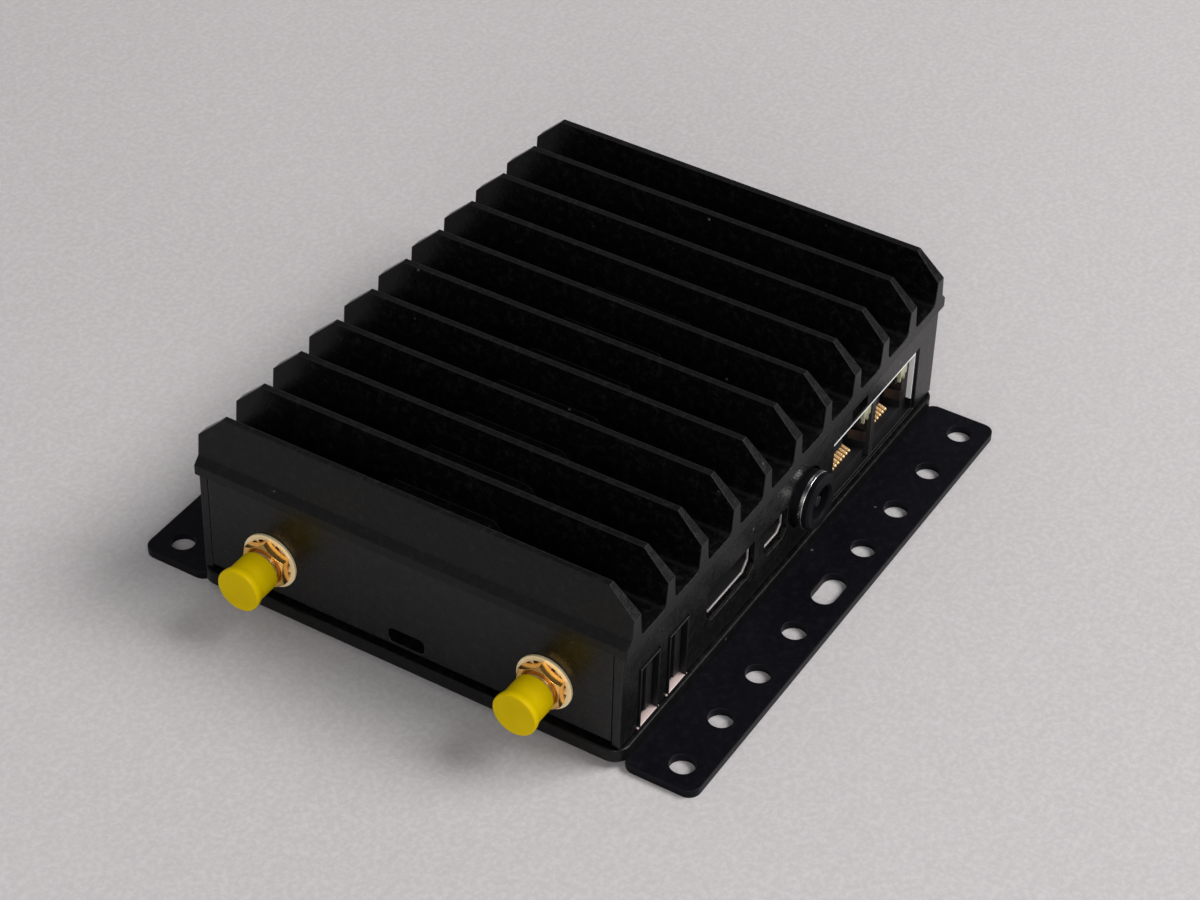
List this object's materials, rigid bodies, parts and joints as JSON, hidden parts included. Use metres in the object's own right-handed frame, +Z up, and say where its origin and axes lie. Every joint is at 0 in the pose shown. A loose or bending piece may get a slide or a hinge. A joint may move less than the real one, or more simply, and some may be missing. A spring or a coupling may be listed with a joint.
{
  "type": "fanless_industrial_pc",
  "caption": "compact fanless industrial computer, finned heat-sink cover, flanged mounting bracket, rear ports, capped antenna connectors",
  "frame": {"origin": "centre of the bracket's underside, the plane that the unit is screwed against", "axes": "X along the case from the plain side panel to the antenna side panel, Y from the front with the power button to the rear with the network jacks, Z up from the bracket to the fins"},
  "size_m": [0.1206, 0.11, 0.0362],
  "materials": {
    "painted_steel": "matte",
    "painted_casting": "satin",
    "painted_frame": "satin",
    "dark_screw_steel": "satin",
    "screw_steel": "satin",
    "port_steel": "satin",
    "black_plastic": "matte",
    "gloss_black_plastic": "gloss",
    "white_plastic": "matte",
    "gilt_brass": "satin",
    "circuit_board": "satin",
    "chip_resin": "matte",
    "pad_rubber": "matte",
    "coil_ferrite": "matte",
    "can_aluminium": "satin",
    "light_window": "gloss",
    "clear_plastic": "gloss",
    "yellow_cap": "satin",
    "cable_jacket": "satin"
  },
  "bodies": {
    "case": {"mounting_bracket": "painted_steel", "bracket_screws": "dark_screw_steel", "base_cover": "painted_casting", "base_screws": "dark_screw_steel", "main_frame": "painted_frame", "antenna_side_panel": "painted_frame", "plain_side_panel": "painted_frame", "heat_sink_cover": "painted_casting", "main_board": "circuit_board", "board_standoffs": "gilt_brass", "board_screws": "screw_steel", "processor": "chip_resin", "thermal_pad": "pad_rubber", "power_coils": "coil_ferrite", "capacitors": "can_aluminium", "battery_holder": "black_plastic", "clock_battery": "screw_steel", "memory_socket": "black_plastic", "memory_module": "circuit_board", "wireless_socket": "black_plastic", "wireless_card": "circuit_board", "storage_socket": "black_plastic", "storage_card": "circuit_board", "card_posts": "gilt_brass", "card_screws": "screw_steel", "outer_usb_shell": "port_steel", "outer_usb_tongue": "black_plastic", "inner_usb_shell": "port_steel", "inner_usb_tongue": "black_plastic", "video_port_shell": "port_steel", "video_port_tongue": "black_plastic", "small_video_port_shell": "port_steel", "small_video_port_tongue": "black_plastic", "power_jack": "gloss_black_plastic", "power_pin": "port_steel", "network_shell": "port_steel", "network_housing": "black_plastic", "network_lights": "light_window", "network_contacts": "gilt_brass", "power_switch": "black_plastic", "light_pipe": "clear_plastic", "right_front_usb_shell": "port_steel", "right_front_usb_tongue": "black_plastic", "left_front_usb_shell": "port_steel", "left_front_usb_tongue": "black_plastic", "audio_jack": "black_plastic", "rear_antenna_connector": "gilt_brass", "front_antenna_connector": "gilt_brass", "antenna_insulators": "white_plastic", "antenna_pins": "gilt_brass", "lock_washers": "gilt_brass", "hex_nuts": "gilt_brass", "rear_antenna_cable": "cable_jacket", "front_antenna_cable": "cable_jacket"},
    "power_button": {"power_button": "gloss_black_plastic"},
    "rear_dust_cap": {"rear_dust_cap": "yellow_cap"},
    "front_dust_cap": {"front_dust_cap": "yellow_cap"}
  },
  "joints": [
    {"name": "power_button_press", "type": "slide", "parent": "case", "child": "power_button", "axis": [0, 1, 0], "range_m": [0, 0.0004], "stiffness_N_per_m": 2500, "springref_m": -0.0002},
    {"name": "rear_dust_cap_pull", "type": "slide", "parent": "case", "child": "rear_dust_cap", "axis": [1, 0, 0], "range_m": [0, 0.012]},
    {"name": "front_dust_cap_pull", "type": "slide", "parent": "case", "child": "front_dust_cap", "axis": [1, 0, 0], "range_m": [0, 0.012]}
  ]
}
